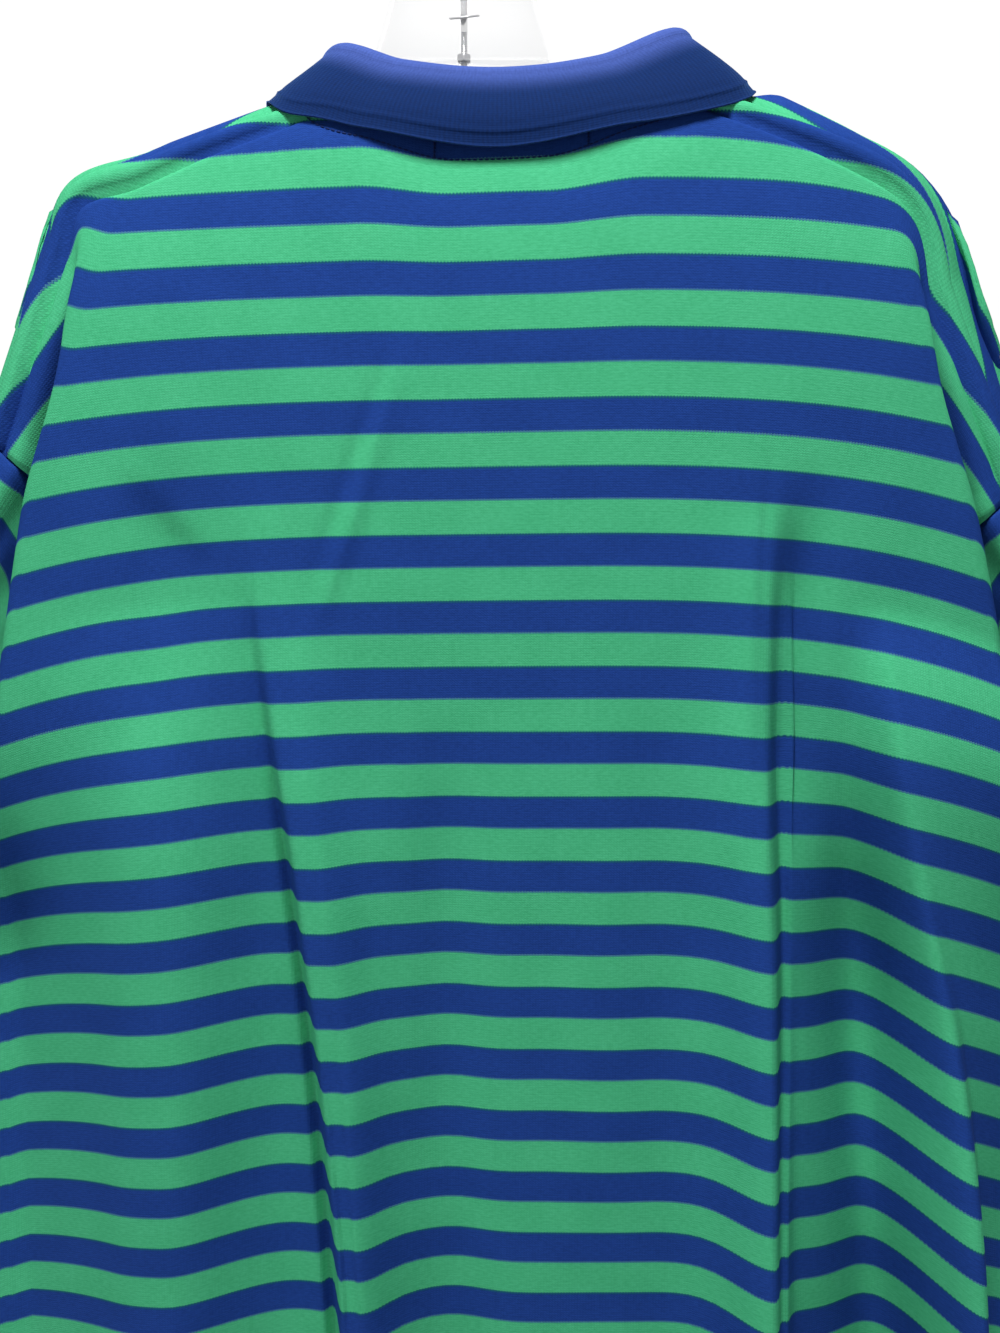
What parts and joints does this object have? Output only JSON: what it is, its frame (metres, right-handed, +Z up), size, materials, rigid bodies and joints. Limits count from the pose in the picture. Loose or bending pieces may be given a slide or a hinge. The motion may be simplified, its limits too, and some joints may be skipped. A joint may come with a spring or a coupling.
{
  "type": "polo shirt on a hanging torso form",
  "caption": "Short-sleeved striped knit polo shirt with a fold-down rib collar, hanging filled out on a clear plastic torso form with a metal hook.",
  "frame": {"origin": "highest point of the inside of the hook, where a rail carries it", "axes": "+Z up along the hook's shank, +X to the wearer's left, -Y the way the wearer faces; the back of the shirt faces +Y"},
  "size_m": [0.617, 0.2256, 1.0005],
  "materials": {
    "striped_knit": "matt cotton knit in level blue and green stripes of equal width",
    "rib_knit": "matt cotton rib, dark blue",
    "plain_knit": "matt cotton knit, dark blue",
    "button_plastic": "polished, dark blue",
    "clear_plastic": "clear moulded plastic",
    "hook_steel": "bright plated steel wire",
    "plate_steel": "plated steel, of the washer and nuts"
  },
  "bodies": {
    "root": {"back": "striped_knit", "front": "striped_knit", "sleeve_left": "striped_knit", "sleeve_right": "striped_knit", "collar": "rib_knit", "placket_top": "plain_knit", "placket_under": "plain_knit", "button_1": "button_plastic", "button_2": "button_plastic", "button_3": "button_plastic", "torso_form": "clear_plastic", "hook": "hook_steel", "hook_plate": "clear_plastic", "hook_washer": "plate_steel", "nut_upper": "plate_steel", "nut_lower": "plate_steel"}
  },
  "joints": []
}
